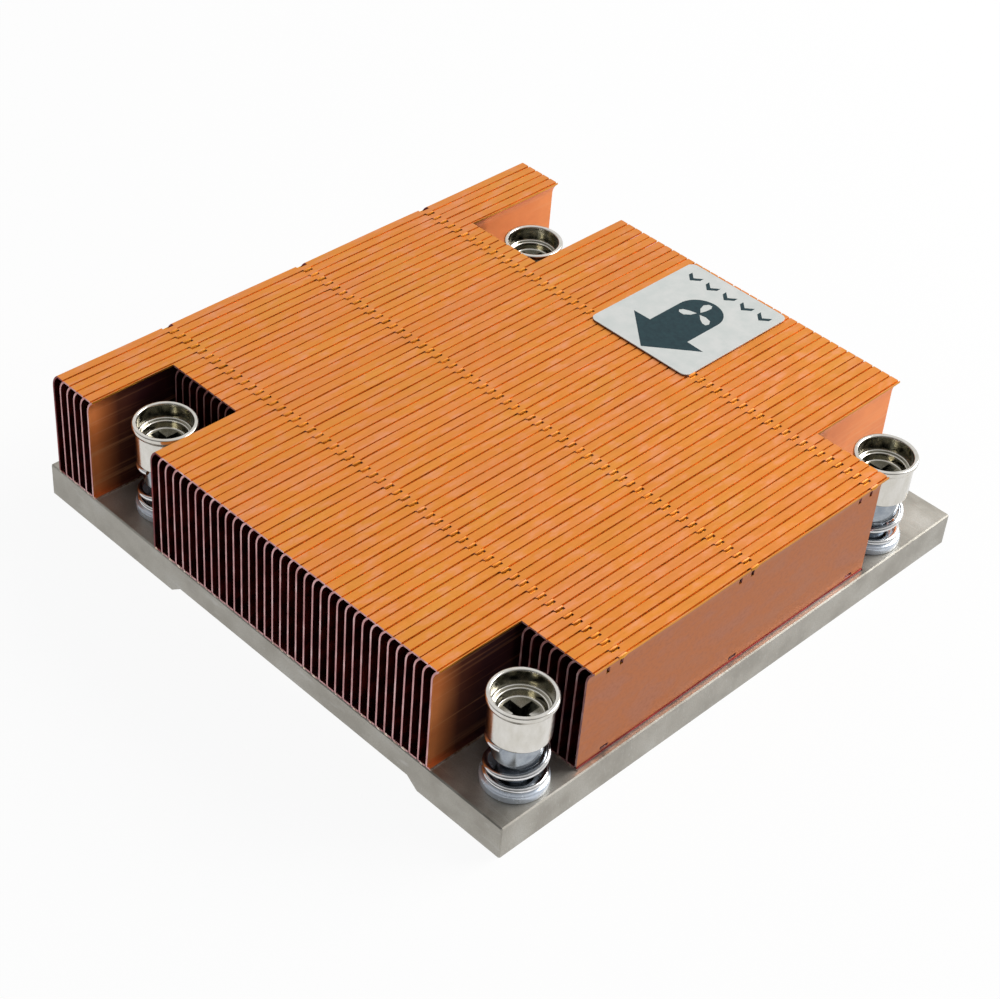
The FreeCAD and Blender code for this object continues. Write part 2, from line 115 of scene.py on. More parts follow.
# ------------------------------------------------------------------ materials
class Shader:
    """A material's node tree, with short calls for the nodes that the materials use."""

    def __init__(self, name, metallic, roughness):
        self.material = bpy.data.materials.new(name)
        self.material.use_nodes = True
        self.tree = self.material.node_tree
        self.surface = self.tree.nodes["Principled BSDF"]
        self.surface.inputs["Metallic"].default_value = metallic
        self.surface.inputs["Roughness"].default_value = roughness
        self.place = self.node("ShaderNodeTexCoord").outputs["Object"]

    def node(self, kind, **settings):
        made = self.tree.nodes.new(kind)
        for key, value in settings.items():
            setattr(made, key, value)
        return made

    def link(self, source, socket):
        self.tree.links.new(source, socket)

    def colour(self, source):
        self.link(source, self.surface.inputs["Base Color"])

    def roughness(self, source, low, high):
        """Roughness between two values, following the source."""
        self.link(self.ramp(source, (0.3, low), (0.7, high)), self.surface.inputs["Roughness"])

    def stretched(self, x, y, z):
        """Object coordinates in features per millimetre along each axis."""
        mapping = self.node("ShaderNodeMapping")
        mapping.inputs["Scale"].default_value = (x / MM, y / MM, z / MM)
        self.link(self.place, mapping.inputs["Vector"])
        return mapping.outputs["Vector"]

    def noise(self, x, y, z, detail=4.0, rough=0.55):
        """Cloudy noise with so many features per millimetre along each axis."""
        made = self.node("ShaderNodeTexNoise")
        made.inputs["Scale"].default_value = 1.0
        made.inputs["Detail"].default_value = detail
        made.inputs["Roughness"].default_value = rough
        self.link(self.stretched(x, y, z), made.inputs["Vector"])
        return made.outputs["Fac"]

    def along_y(self, low, high):
        """A value that goes from 0 at one place along Y to 1 at another."""
        axes = self.node("ShaderNodeSeparateXYZ")
        self.link(self.place, axes.inputs[0])
        share = self.node("ShaderNodeMapRange")
        share.inputs["From Min"].default_value = low
        share.inputs["From Max"].default_value = high
        self.link(axes.outputs["Y"], share.inputs["Value"])
        return share.outputs[0]

    def ramp(self, source, *stops):
        """Grey levels or colours at places from 0 to 1 of the source."""
        made = self.node("ShaderNodeValToRGB")
        elements = made.color_ramp.elements
        while len(elements) < len(stops):
            elements.new(0.5)
        for element, (place, colour) in zip(elements, stops):
            element.position = place
            element.color = (*colour, 1) if isinstance(colour, tuple) else (colour, colour, colour, 1)
        self.link(source, made.inputs["Fac"])
        return made.outputs["Color"]

    def mix(self, share, one, two):
        """Colour between two others; each of the three is a value or a socket."""
        made = self.node("ShaderNodeMix", data_type="RGBA")
        for value, socket in ((share, made.inputs["Factor"]), (one, made.inputs["A"]),
                              (two, made.inputs["B"])):
            if isinstance(value, (tuple, float, int)):
                if socket.type == "RGBA":
                    socket.default_value = (*value, 1)
                else:
                    socket.default_value = value
            else:
                self.link(value, socket)
        return made.outputs["Result"]

    def bump(self, height, strength, distance):
        made = self.node("ShaderNodeBump")
        made.inputs["Strength"].default_value = strength
        made.inputs["Distance"].default_value = distance
        self.link(height, made.inputs["Height"])
        self.link(made.outputs["Normal"], self.surface.inputs["Normal"])


def copper():
    """Bare rolled copper: orange, with pinkish and yellowish patches, rolling grain and stains."""
    m = Shader("copper_sheet", 1.0, 0.4)
    grain = m.noise(3.0, 0.10, 1.0, 5)
    patch = m.noise(0.12, 0.06, 0.12, 3)
    blotch = m.noise(0.6, 0.25, 0.5, 4)
    speck = m.noise(2.5, 1.2, 2.5, 3)
    colour = m.ramp(patch, (0.34, (0.78, 0.28, 0.085)), (0.50, (0.79, 0.28, 0.05)),
                    (0.66, (0.77, 0.31, 0.055)))
    colour = m.mix(m.ramp(blotch, (0.50, 0.0), (0.72, 0.7)), colour, (0.78, 0.36, 0.21))
    colour = m.mix(m.ramp(speck, (0.52, 0.0), (0.75, 0.5)), colour, (0.66, 0.25, 0.03))
    colour = m.mix(m.ramp(grain, (0.45, 0.0), (0.75, 0.3)), colour, (0.58, 0.19, 0.035))
    fin = m.node("ShaderNodeObjectInfo").outputs["Random"]
    colour = m.mix(m.ramp(fin, (0.0, 0.0), (1.0, 0.35)), colour, (0.66, 0.225, 0.045))
    m.colour(colour)
    m.roughness(blotch, 0.36, 0.50)
    m.bump(grain, 0.25, 0.02 * MM)
    return m.material


def polished():
    """The walls beside the screws: the sheet's bright side, streaked along the rolling, and painted dark
    deep in the front notches: a painted reflection of the dark ends of the fins opposite."""
    m = Shader("copper_wall", 0.55, 0.4)
    streak = m.noise(1.0, 0.02, 1.2, 4)
    stain = m.noise(0.25, 0.15, 0.25, 4)
    colour = m.ramp(stain, (0.35, (0.84, 0.24, 0.06)), (0.65, (0.94, 0.31, 0.09)))
    # Painted reflection: dark from just inside the front notches back to the back notches, which stay bright.
    inside = m.ramp(m.along_y(*FULL_SPAN), (0.012, 0.0), (0.055, 0.85), (0.10, 0.97), (0.78, 0.96),
                    (0.84, 0.0))
    colour = m.mix(inside, colour, (0.035, 0.006, 0.016))
    m.colour(m.mix(m.ramp(streak, (0.55, 0.0), (0.68, 0.35)), colour, (0.92, 0.46, 0.22)))
    m.roughness(stain, 0.40, 0.50)
    m.bump(streak, 0.08, 0.02 * MM)
    return m.material


def matt_shaded_side():
    """The closing fin's open face: pinker than the tops and darker, with the side's shade painted in; finely
    mottled.
    """
    m = Shader("copper_side", 1.0, 0.45)
    patch = m.noise(0.25, 0.12, 0.25, 4)
    speck = m.noise(2.0, 1.5, 2.0, 4)
    colour = m.ramp(patch, (0.35, (0.44, 0.155, 0.065)), (0.5, (0.48, 0.16, 0.055)),
                    (0.65, (0.46, 0.18, 0.095)))
    colour = m.mix(m.ramp(speck, (0.45, 0.0), (0.72, 0.5)), colour, (0.35, 0.125, 0.06))
    m.colour(colour)
    m.roughness(patch, 0.40, 0.52)
    m.bump(speck, 0.25, 0.02 * MM)
    return m.material


def shaded():
    """Copper in the gaps between the flanges and round the lock tabs: browner than the tops, with the gaps'
    shade painted in.
    """
    m = Shader("copper_gap", 1.0, 0.5)
    stain = m.noise(0.5, 0.12, 0.5, 4)
    m.colour(m.ramp(stain, (0.35, (0.56, 0.25, 0.03)), (0.65, (0.80, 0.37, 0.055))))
    m.roughness(stain, 0.42, 0.6)
    m.bump(m.noise(4, 1, 4, 3), 0.2, 0.02 * MM)
    return m.material


def channel_shade():
    """The faces inside the air channels: dark maroon copper, with the channels' shade painted in, uneven in
    tone.
    """
    m = Shader("copper_channel_painted_shade", 1.0, 0.45)
    stain = m.noise(0.3, 0.15, 0.4, 4)
    m.colour(m.ramp(stain, (0.35, (0.13, 0.022, 0.028)), (0.65, (0.28, 0.045, 0.045))))
    m.roughness(stain, 0.35, 0.5)
    m.bump(m.noise(1.0, 0.2, 1.0, 3), 0.2, 0.03 * MM)
    return m.material


def cut_edge():
    """The sheared ends of the sheets: dull, pinkish brown."""
    m = Shader("copper_edge", 0.7, 0.5)
    stain = m.noise(0.8, 0.8, 0.35, 4)
    m.colour(m.ramp(stain, (0.35, (0.48, 0.22, 0.22)), (0.55, (0.70, 0.38, 0.38)),
                    (0.7, (0.86, 0.60, 0.60))))
    m.roughness(stain, 0.4, 0.55)
    m.bump(m.noise(8, 8, 1, 3), 0.3, 0.02 * MM)
    return m.material


def solder():
    """Solder along the fins' feet: pale, with a copper tinge."""
    m = Shader("solder", 1.0, 0.35)
    stain = m.noise(1.2, 1.2, 1.2, 4)
    m.colour(m.ramp(stain, (0.35, (0.55, 0.36, 0.26)), (0.65, (0.78, 0.68, 0.60))))
    m.roughness(stain, 0.25, 0.45)
    m.bump(m.noise(3, 3, 3, 3), 0.3, 0.05 * MM)
    return m.material


def plate_metal():
    """The base plate: grey plated metal, blotchy, with fine scratches."""
    m = Shader("plate_metal", 0.8, 0.45)
    fine = m.noise(5.0, 5.0, 5.0, 5)
    wide = m.noise(0.15, 0.15, 0.15, 4)
    scratch = m.noise(0.25, 4.0, 1.0, 4)
    colour = m.ramp(wide, (0.35, (0.33, 0.31, 0.27)), (0.52, (0.43, 0.41, 0.365)),
                    (0.68, (0.50, 0.485, 0.445)))
    colour = m.mix(m.ramp(fine, (0.45, 0.0), (0.7, 0.5)), colour, (0.27, 0.25, 0.215))
    colour = m.mix(m.ramp(scratch, (0.58, 0.0), (0.72, 0.45)), colour, (0.55, 0.54, 0.52))
    m.colour(colour)
    m.roughness(wide, 0.36, 0.52)
    m.bump(m.mix(0.5, fine, scratch), 0.35, 0.02 * MM)
    return m.material


def nickel():
    """Bright nickel plating with a faint warm cloud and turning marks."""
    m = Shader("nickel_plating", 1.0, 0.2)
    wide = m.noise(0.6, 0.6, 0.3, 3)
    turning = m.noise(0.3, 0.3, 8.0, 3)
    m.colour(m.ramp(wide, (0.35, (0.60, 0.575, 0.52)), (0.65, (0.70, 0.68, 0.64))))
    m.roughness(wide, 0.14, 0.24)
    m.bump(turning, 0.12, 0.01 * MM)
    return m.material


def cup_wall():
    """The inside of the screws' heads: darker and duller than the plating, with the cup's shade painted in;
    olive, with warm patches painted in as a reflection of the copper.
    """
    m = Shader("cup_wall", 1.0, 0.16)
    stain = m.noise(0.7, 0.7, 0.5, 4)
    m.colour(m.ramp(stain, (0.35, (0.20, 0.19, 0.14)), (0.55, (0.32, 0.31, 0.25)),
                    (0.7, (0.42, 0.36, 0.26))))
    m.roughness(stain, 0.10, 0.22)
    m.bump(m.noise(0.5, 0.5, 6.0, 3), 0.12, 0.01 * MM)
    return m.material


def recess():
    """The driver's cross: dark, with the shade deep in the recess painted in."""
    m = Shader("cross_recess", 0.9, 0.3)
    stain = m.noise(1.5, 1.5, 1.5, 4)
    m.colour(m.ramp(stain, (0.35, (0.03, 0.032, 0.03)), (0.65, (0.10, 0.10, 0.085))))
    m.roughness(stain, 0.2, 0.45)
    m.bump(stain, 0.2, 0.03 * MM)
    return m.material


def chrome_painted_shade():
    """The screws' collars and shanks: smooth chrome, dark with the shade under the heads painted in."""
    m = Shader("screw_collar", 1.0, 0.12)
    wide = m.noise(0.6, 0.6, 0.6, 3)
    m.colour(m.ramp(wide, (0.35, (0.26, 0.29, 0.33)), (0.65, (0.40, 0.43, 0.46))))
    m.roughness(wide, 0.08, 0.2)
    m.bump(m.noise(0.3, 0.3, 8.0, 3), 0.12, 0.01 * MM)
    return m.material


def bright_wire():
    """The springs' wire: bright, faintly cloudy steel."""
    m = Shader("spring_wire", 1.0, 0.15)
    wide = m.noise(0.8, 0.8, 0.8, 3)
    m.colour(m.ramp(wide, (0.35, (0.66, 0.66, 0.66)), (0.65, (0.78, 0.78, 0.79))))
    m.roughness(wide, 0.10, 0.2)
    m.bump(m.noise(4, 4, 4, 2), 0.08, 0.01 * MM)
    return m.material


def washer_finish():
    """Pale bluish washers, half gloss."""
    m = Shader("washer_finish", 0.55, 0.25)
    wide = m.noise(0.7, 0.7, 0.7, 3)
    m.colour(m.ramp(wide, (0.35, (0.58, 0.64, 0.73)), (0.65, (0.68, 0.73, 0.80))))
    m.roughness(wide, 0.2, 0.3)
    m.bump(m.noise(3, 3, 3, 3), 0.1, 0.02 * MM)
    return m.material


def spring_steel():
    """The clips under the plate: dark spring steel."""
    m = Shader("clip_steel", 1.0, 0.4)
    wide = m.noise(1.0, 1.0, 1.0, 4)
    m.colour(m.ramp(wide, (0.35, (0.10, 0.10, 0.10)), (0.65, (0.19, 0.19, 0.19))))
    m.roughness(wide, 0.3, 0.5)
    m.bump(m.noise(6, 6, 6, 3), 0.15, 0.01 * MM)
    return m.material


def film():
    """The label's film: pale grey, faintly mottled, half matt."""
    m = Shader("label_film", 0.0, 0.45)
    wide = m.noise(0.4, 0.4, 0.4, 4)
    m.colour(m.ramp(wide, (0.35, (0.66, 0.69, 0.67)), (0.65, (0.74, 0.75, 0.73))))
    m.roughness(wide, 0.38, 0.52)
    m.bump(wide, 0.2, 0.05 * MM)
    return m.material


def ink():
    """The label's print: dark blue-green ink with an uneven coat."""
    m = Shader("label_ink", 0.0, 0.5)
    m.surface.inputs["Specular IOR Level"].default_value = 0.15
    coat = m.noise(1.5, 1.5, 1.5, 4)
    m.colour(m.ramp(coat, (0.35, (0.012, 0.035, 0.045)), (0.7, (0.022, 0.055, 0.065))))
    m.roughness(coat, 0.32, 0.5)
    m.bump(coat, 0.15, 0.02 * MM)
    return m.material


# Copper for the air channels and for the gaps has their shade painted in.
COPPER, WALL, SIDE_FACE, CHANNEL_SHADE, EDGE = copper(), polished(), matt_shaded_side(), channel_shade(), cut_edge()
GAP = shaded()
PLATE, NICKEL, CUP, RECESS, SOLDER = plate_metal(), nickel(), cup_wall(), recess(), solder()
COLLAR_METAL = chrome_painted_shade()
WIRE, WASHER, STEEL, FILM, INK = bright_wire(), washer_finish(), spring_steel(), film(), ink()

# The solids that no piece replaces, the label and the clips, are seen with these materials.
SLOT_MATERIAL = {"fins": COPPER, "plate": PLATE, "label": FILM, "washers": WASHER, "screws": NICKEL,
                 "springs": WIRE, "clips": STEEL}
for subpart in frame["record"]["subparts"]:
    node = frame["nodes"][subpart["node"]]
    node.data.materials.clear()
    node.data.materials.append(SLOT_MATERIAL[subpart["material_slot"]])


# ------------------------------------------------------------------ making pieces
CREASE = 35                                           # degrees; flatter edges are shaded smooth


def piece(name, points, faces, materials, body, stands_for=(), crease=CREASE):
    """A mesh object from points and faces, riding on a body of the frame."""
    mesh = bpy.data.meshes.new(name)
    mesh.from_pydata(points, [], faces)
    for material in materials:
        mesh.materials.append(material)
    mesh.shade_smooth()
    mesh.set_sharp_from_angle(angle=math.radians(crease))
    obj = bpy.data.objects.new(name, mesh)
    bpy.context.scene.collection.objects.link(obj)
    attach(obj, body)
    if stands_for:
        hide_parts(*stands_for)
    return obj


def settle(obj):
    """Put the result of the object's modifiers into its mesh, smooth, with its sharp edges kept."""
    bpy.context.view_layer.update()
    result = bpy.data.meshes.new_from_object(obj.evaluated_get(bpy.context.evaluated_depsgraph_get()))
    obj.modifiers.clear()
    obj.data = result
    result.shade_smooth()
    result.set_sharp_from_angle(angle=math.radians(CREASE))


def swept(sections):
    """Points and faces of a closed skin through equal rings of points, with flat ends."""
    count = len(sections[0])
    points = [p for section in sections for p in section]
    faces = []
    for ring in range(len(sections) - 1):
        for n in range(count):
            after = (n + 1) % count
            faces.append((ring * count + n, ring * count + after, (ring + 1) * count + after,
                          (ring + 1) * count + n))
    faces.append(tuple(reversed(range(count))))
    faces.append(tuple(range(len(points) - count, len(points))))
    return points, faces


def rounded(profile, steps=4):
    """Points of a profile given by its corners (r, z, corner radius), with a curve at each corner."""
    points = []
    for n, (r, z, radius) in enumerate(profile):
        here = Vector((r, z))
        if radius == 0 or n in (0, len(profile) - 1):
            points.append(here)
            continue
        before, after = Vector(profile[n - 1][:2]) - here, Vector(profile[n + 1][:2]) - here
        half = before.angle(after) / 2
        reach = radius / math.tan(half)
        start, end = here + before.normalized() * reach, here + after.normalized() * reach
        for k in range(steps + 1):
            t = k / steps
            points.append(start * (1 - t) ** 2 + here * 2 * t * (1 - t) + end * t ** 2)
    return points


def turned(profile, x, y, steps=72):
    """Points and faces of a solid turned about an upright axis at x, y; r = 0 at both its ends
    or, for a ring, at neither."""
    ring = profile[0].x > 0
    inner = profile if ring else profile[1:-1]
    points, faces = [], []
    for k in range(steps):
        around = 2 * math.pi * k / steps
        points += [(x + p.x * math.cos(around), y + p.x * math.sin(around), p.y) for p in inner]
    count = len(inner)
    for k in range(steps):
        low, high = k * count, (k + 1) % steps * count
        for n in range(count if ring else count - 1):
            after = (n + 1) % count
            faces.append((low + n, high + n, high + after, low + after))
    if not ring:
        for end, n, turn in ((profile[0], 0, 1), (profile[-1], count - 1, -1)):
            tip = len(points)
            points.append((x, y, end.y))
            for k in range(steps):
                low, high = k * count + n, (k + 1) % steps * count + n
                faces.append((tip, high, low)[::turn])
    return points, faces


def cut(obj, points, faces):
    """Take a closed shape away from the object, for good."""
    mesh = bpy.data.meshes.new("cutter")
    mesh.from_pydata(points, [], faces)
    cutter = bpy.data.objects.new("cutter", mesh)
    bpy.context.scene.collection.objects.link(cutter)
    for mesh in (obj.data, cutter.data):
        shape = bmesh.new()
        shape.from_mesh(mesh)
        bmesh.ops.recalc_face_normals(shape, faces=shape.faces)
        shape.to_mesh(mesh)
        shape.free()
    boolean = obj.modifiers.new("cut", "BOOLEAN")
    boolean.object, boolean.operation, boolean.solver = cutter, "DIFFERENCE", "EXACT"
    settle(obj)
    bpy.data.objects.remove(cutter)


def axis_of(node):
    """The x and y of the upright axis that a node stands on."""
    low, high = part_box(node)
    return (low.x + high.x) / 2, (low.y + high.y) / 2


# ------------------------------------------------------------------ the base plate
PLATE_BEVEL = 0.2 * MM
RECESS_LEFT, RECESS_RIGHT, RECESS_SLOPE, RECESS_DEEP = -19.6 * MM, 33.2 * MM, 2.0 * MM, 1.5 * MM
HOLE, POCKET, POCKET_DEEP = 2.7 * MM, 4.1 * MM, 4.0 * MM


def make_plate():
    """The plate with crisp corners and a fine bevel, its underside recess and the screws' holes."""
    low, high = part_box("base_plate")
    b = PLATE_BEVEL
    sections = []
    for y, inset in ((low.y, b), (low.y + b, 0.0), (high.y - b, 0.0), (high.y, b)):
        left, right, top, corner = low.x + inset, high.x - inset, high.z - inset, b - inset / 2
        outline = [(left, low.z), (RECESS_LEFT, low.z), (RECESS_LEFT + RECESS_SLOPE, RECESS_DEEP),
                   (RECESS_RIGHT - RECESS_SLOPE, RECESS_DEEP), (RECESS_RIGHT, low.z), (right, low.z),
                   (right, top - corner), (right - corner, top), (left + corner, top), (left, top - corner)]
        sections.append([(x, y, z) for x, z in outline])
    points, faces = swept(sections)
    plate = piece("plate", points, faces, (PLATE,), ROOT, ["base_plate"])
    profile = [Vector(p) for p in ((0, low.z - MM), (POCKET, low.z - MM), (POCKET, POCKET_DEEP),
                                   (HOLE, POCKET_DEEP), (HOLE, high.z + MM), (0, high.z + MM))]
    for side in SIDES:
        cut(plate, *turned(profile, *axis_of("screw_" + side), steps=48))


make_plate()


# ------------------------------------------------------------------ the folded fins
SHEET = 0.3 * MM
PLATE_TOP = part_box("base_plate")[1].z
TAB_RISE = 0.15 * MM                                  # lock tabs above the fins' tops
FIN_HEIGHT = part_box("label")[0].z - TAB_RISE - PLATE_TOP
FIRST_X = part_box("rail_fin_01")[0].x
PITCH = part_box("rail_fin_02")[0].x - FIRST_X
BEND_RADIUS, BEND_ANGLE = 3.2 * MM, 52.0              # the big bend at the top of a fin, in degrees
FOOT_RADIUS, FOOT_REACH = 0.35 * MM, 1.54 * MM
END_FOOT = 0.9 * MM                                   # reach of a foot with no neighbour beside it
UPRIGHT_LEVELS = (0.6, 1.2, 5.0, 9.0, 13.0)           # mm; the first two bound the foot's slots
SIDE_SLOT_HEIGHT = 0.55 * MM
CREST = BEND_RADIUS * (1 - math.cos(math.radians(BEND_ANGLE)))
LIP = CREST + 0.12 * MM                               # flange of a fin with no neighbour to reach
WINDOW_END = 1.80 * MM                                # far side of a lock window
FLANGE = CREST + PITCH - 0.29 * MM                    # end of a full top flange
ROW_MIDDLE, ROW_PITCH = -2.2 * MM, 26.6 * MM
ROWS = [ROW_MIDDLE + n * ROW_PITCH for n in (-1, 0, 1)]
SLOT_OUT, SLOT_IN, TAB_HALF = 1.6 * MM, 0.95 * MM, 0.8 * MM     # side slots, and the tab between
# A tab's middle line past its flange, as reach and rise in mm: over the next crest, down into the
# window there and, but for the last tabs, on under that fin's flange.
TAB_OVER, TAB_DOWN = ((0.10, 0.13), (0.30, 0.27), (0.50, 0.22)), ((0.60, 0.0), (0.62, -0.26))
TAB_CATCH = (1.1, -0.36)
TAB_EDGE_REACH, TAB_EDGE_RISE, TAB_TAPER = 0.80, 0.5, 0.15      # a tab's sides against its middle
STATION_STEP, STATION_GAP = 5.5 * MM, 0.8 * MM        # widest and narrowest strips along a plain fin
WAVE, WAVE_LENGTH, LEAN = 0.035 * MM, 31 * MM, 0.02 * MM        # how a fin's top strays from straight
SLACK, SAME_POINT = 0.01 * MM, 0.001 * MM
FOOT_ZONE = 1 * MM                                    # below this the rims keep their own look


def fin_section():
    """The folded section of a fin, outer side: (x, z, where it is) from the foot to the flange."""
    spring = FIN_HEIGHT - BEND_RADIUS * math.sin(math.radians(BEND_ANGLE))
    points = [(x, 0.0, "foot") for x in (FOOT_REACH, END_FOOT, FOOT_RADIUS)]
    for angle in (30, 60, 90):
        a = math.radians(angle)
        points.append((FOOT_RADIUS * (1 - math.sin(a)), FOOT_RADIUS * (1 - math.cos(a)), "fold"))
    for z in UPRIGHT_LEVELS:
        points.append((0.0, z * MM, "upright"))
    for z in (spring - SIDE_SLOT_HEIGHT, spring):
        points.append((0.0, z, "slot"))
    for angle in (9, 18, 27, 36, 45, BEND_ANGLE):
        a = math.radians(angle)
        points.append((BEND_RADIUS * (1 - math.cos(a)), spring + BEND_RADIUS * math.sin(a), "bend"))
    for x in (LIP, WINDOW_END, FLANGE):
        points.append((x, FIN_HEIGHT, "flange"))
    return points


# Strip n of the section lies between its points n and n + 1.
SECTION = fin_section()
OUTER_FOOT, INNER_FOOT = 0, 1
FIRST_UPRIGHT, FIRST_SLOT, FIRST_BEND = ([p[2] for p in SECTION].index(part)
                                         for part in ("upright", "slot", "bend"))
CREST_AT, LIP_AT, WINDOW_AT, FLANGE_AT = range(len(SECTION) - 4, len(SECTION))
WINDOW_FROM, WIDE_WINDOW_FROM = CREST_AT - 1, FIRST_BEND + 2    # lock windows begin in the bend

# A face's number among a fin's materials; the sheet's inner side adds 1 to it, and its rim 2.
OPEN, INNER, RIM, IN_GAP, IN_GAP_RIM, IN_CHANNEL = 0, 1, 2, 3, 5, 6

RAIL_FINS, SIDE_FINS, CORE_FINS = 6, 8, 36
RAIL_EDGE = RAIL_FINS - 1                             # the last fin before the left screws
CORE_START = RAIL_FINS + SIDE_FINS
CORE_EDGE = CORE_START + CORE_FINS - 1                # the last fin before the right screws
FIN_NODES = ["rail_fin_%02d" % (n + 1) for n in range(RAIL_FINS)] + ["left_short_fins"] * SIDE_FINS
FIN_NODES += ["core_fin_%02d" % (n + 1) for n in range(CORE_FINS)] + ["right_short_fins"] * SIDE_FINS
LAST_FIN = len(FIN_NODES) - 1
FIN_KINDS = {0: "first", RAIL_EDGE: "edge", CORE_EDGE: "edge", LAST_FIN: "end"}


def is_short(index):
    """Whether a fin stands between two screws."""
    return RAIL_EDGE < index < CORE_START or index > CORE_EDGE


def stations(front, back):
    """Places along Y at which a fin's mesh is cut: (y, offset from the middle of its lock row).
    The offset is None away from the lock rows."""
    marks = {front: None, back: None}
    for row in ROWS:
        for offset in (-SLOT_OUT, -SLOT_IN, -TAB_HALF, 0.0, TAB_HALF, SLOT_IN, SLOT_OUT):
            marks[row + offset] = offset
    for edge in SHORT_SPAN:
        if front < edge < back:
            marks[edge] = None
    steps = round((back - front) / STATION_STEP)
    for n in range(1, steps):
        y = front + (back - front) * n / steps
        if min(abs(y - mark) for mark in marks) > STATION_GAP:
            marks[y] = None
    return sorted(marks.items())


def in_row(here, after, low, high):
    """Whether the cell between two stations lies within low..high of a lock row."""
    return here is not None and after is not None and low <= here < after <= high


def cut_out(kind, in_notch, strip, here, after):
    """Whether a strip of the section is missing between two stations of a fin."""
    alone = in_notch or kind == "end"                 # no neighbour here for the foot and flange to reach
    outermost = kind in ("first", "end")              # the two fins whose lock slots can be seen
    window = in_row(here, after, -TAB_HALF, TAB_HALF)
    side_slot = in_row(here, after, -SLOT_OUT, -SLOT_IN) or in_row(here, after, SLOT_IN, SLOT_OUT)
    wide_window = kind == "first" and in_row(here, after, -SLOT_IN, SLOT_IN)
    return (alone and (strip == OUTER_FOOT or strip >= LIP_AT)
            or kind == "end" and strip == INNER_FOOT
            or window and kind != "end" and WINDOW_FROM <= strip < WINDOW_AT
            or wide_window and WIDE_WINDOW_FROM <= strip < WINDOW_AT
            or outermost and side_slot and FIRST_SLOT <= strip < FIRST_BEND
            or outermost and window and strip == FIRST_UPRIGHT)


def fin_piece(index):
    """One folded sheet: section along the fin, lock windows cut out and lock tabs bent over."""
    kind = FIN_KINDS.get(index, "plain")
    marks = stations(*(SHORT_SPAN if is_short(index) else FULL_SPAN))
    x0 = FIRST_X + PITCH * index
    dice = random.Random(400 + index)
    phase, lean = dice.uniform(0, 2 * math.pi), dice.uniform(-1, 1) * LEAN
    points, faces, kinds, count = [], [], [], len(SECTION)

    def place(x, y, z):
        stray = WAVE * math.sin(2 * math.pi * y / WAVE_LENGTH + phase) + lean
        share = max(0.0, z - FIN_HEIGHT / 2) / (FIN_HEIGHT / 2)
        return (x0 + x + stray * share, y, PLATE_TOP + z)

    for y, _ in marks:
        points += [place(x, y, z) for x, z, _ in SECTION]
    for j in range(len(marks) - 1):
        (y, here), (_, after) = marks[j], marks[j + 1]
        in_notch = kind == "edge" and not SHORT_SPAN[0] - SLACK <= y <= SHORT_SPAN[1] - SLACK
        for k in range(count - 1):
            if cut_out(kind, in_notch, k, here, after):
                continue
            low = j * count + k
            faces.append((low, low + 1, low + count + 1, low + count))
            # The crest strip takes the gaps' copper, with its painted shade; the end fin's foot and fold take
            # the channels' dark copper, a painted shadow line along its foot.
            kinds.append(IN_GAP if k == CREST_AT - 1 else
                         IN_CHANNEL if kind == "end" and SECTION[k + 1][2] in ("foot", "fold") else OPEN)
        if kind != "end" and in_row(here, after, -TAB_HALF, TAB_HALF):
            kinds += tab_strip(points, faces, place, marks, j, catches=index != LAST_FIN - 1)
    # Plain fins' inner sides take the channels' dark copper: painted shade.
    inner = {"edge": WALL, "end": SIDE_FACE}.get(kind, CHANNEL_SHADE)
    # The first sheet of each block has that dark copper on its rims too: painted shade.
    ends = CHANNEL_SHADE if index in (0, CORE_START) else EDGE
    materials = (COPPER, inner, ends, GAP, inner, ends, CHANNEL_SHADE, CHANNEL_SHADE, CHANNEL_SHADE)
    obj = piece("fin_%02d" % (index + 1), points, faces, materials, ROOT, [FIN_NODES[index]])
    obj.data.polygons.foreach_set("material_index", kinds)
    solid = obj.modifiers.new("sheet", "SOLIDIFY")
    solid.thickness, solid.offset = SHEET, -1
    solid.material_offset, solid.material_offset_rim = INNER, RIM
    weld(obj.data)
    settle(obj)
    # Rims in the grooves take the gaps' copper, with its painted shade.
    for face in obj.data.polygons:                    # the rims that don't face along the fin
        if (face.material_index in (RIM, IN_GAP_RIM) and abs(face.normal.y) < 0.5
                and face.center.z > PLATE_TOP + FOOT_ZONE):
            face.material_index = IN_GAP


def tab_strip(points, faces, place, marks, j, catches):
    """The part of a lock tab between two stations: over the next crest and down into its window.
    Gives the material numbers of its faces."""
    route = TAB_OVER + TAB_DOWN + ((TAB_CATCH,) if catches else ())
    rows = []
    for station in (j, j + 1):
        y, offset = marks[station]
        row = [station * len(SECTION) + FLANGE_AT]
        for reach, rise in route:
            at_side = offset != 0 and (reach, rise) != TAB_CATCH
            reach_here = reach * (TAB_EDGE_REACH if at_side else 1.0)
            rise_here = rise * (TAB_EDGE_RISE if at_side and rise > 0 else 1)
            row.append(len(points))
            points.append(place(FLANGE + reach_here * MM, y - TAB_TAPER * reach * offset,
                                FIN_HEIGHT + rise_here * MM))
        rows.append(row)
    for n in range(len(route)):
        faces.append((rows[0][n], rows[0][n + 1], rows[1][n + 1], rows[1][n]))
    # The parts down in the window take the gaps' copper, with its painted shade.
    return [OPEN] * len(TAB_OVER) + [IN_GAP] * (len(route) - len(TAB_OVER))


def weld(mesh):
    """Join the points that neighbouring strips of a sheet share, and drop the unused ones."""
    shape = bmesh.new()
    shape.from_mesh(mesh)
    bmesh.ops.remove_doubles(shape, verts=shape.verts, dist=SAME_POINT)
    loose = [v for v in shape.verts if not v.link_faces]
    bmesh.ops.delete(shape, geom=loose, context="VERTS")
    shape.to_mesh(mesh)
    shape.free()


for fin in range(len(FIN_NODES)):
    fin_piece(fin)


# ------------------------------------------------------------------ solder
BEAD_SIDES = 10


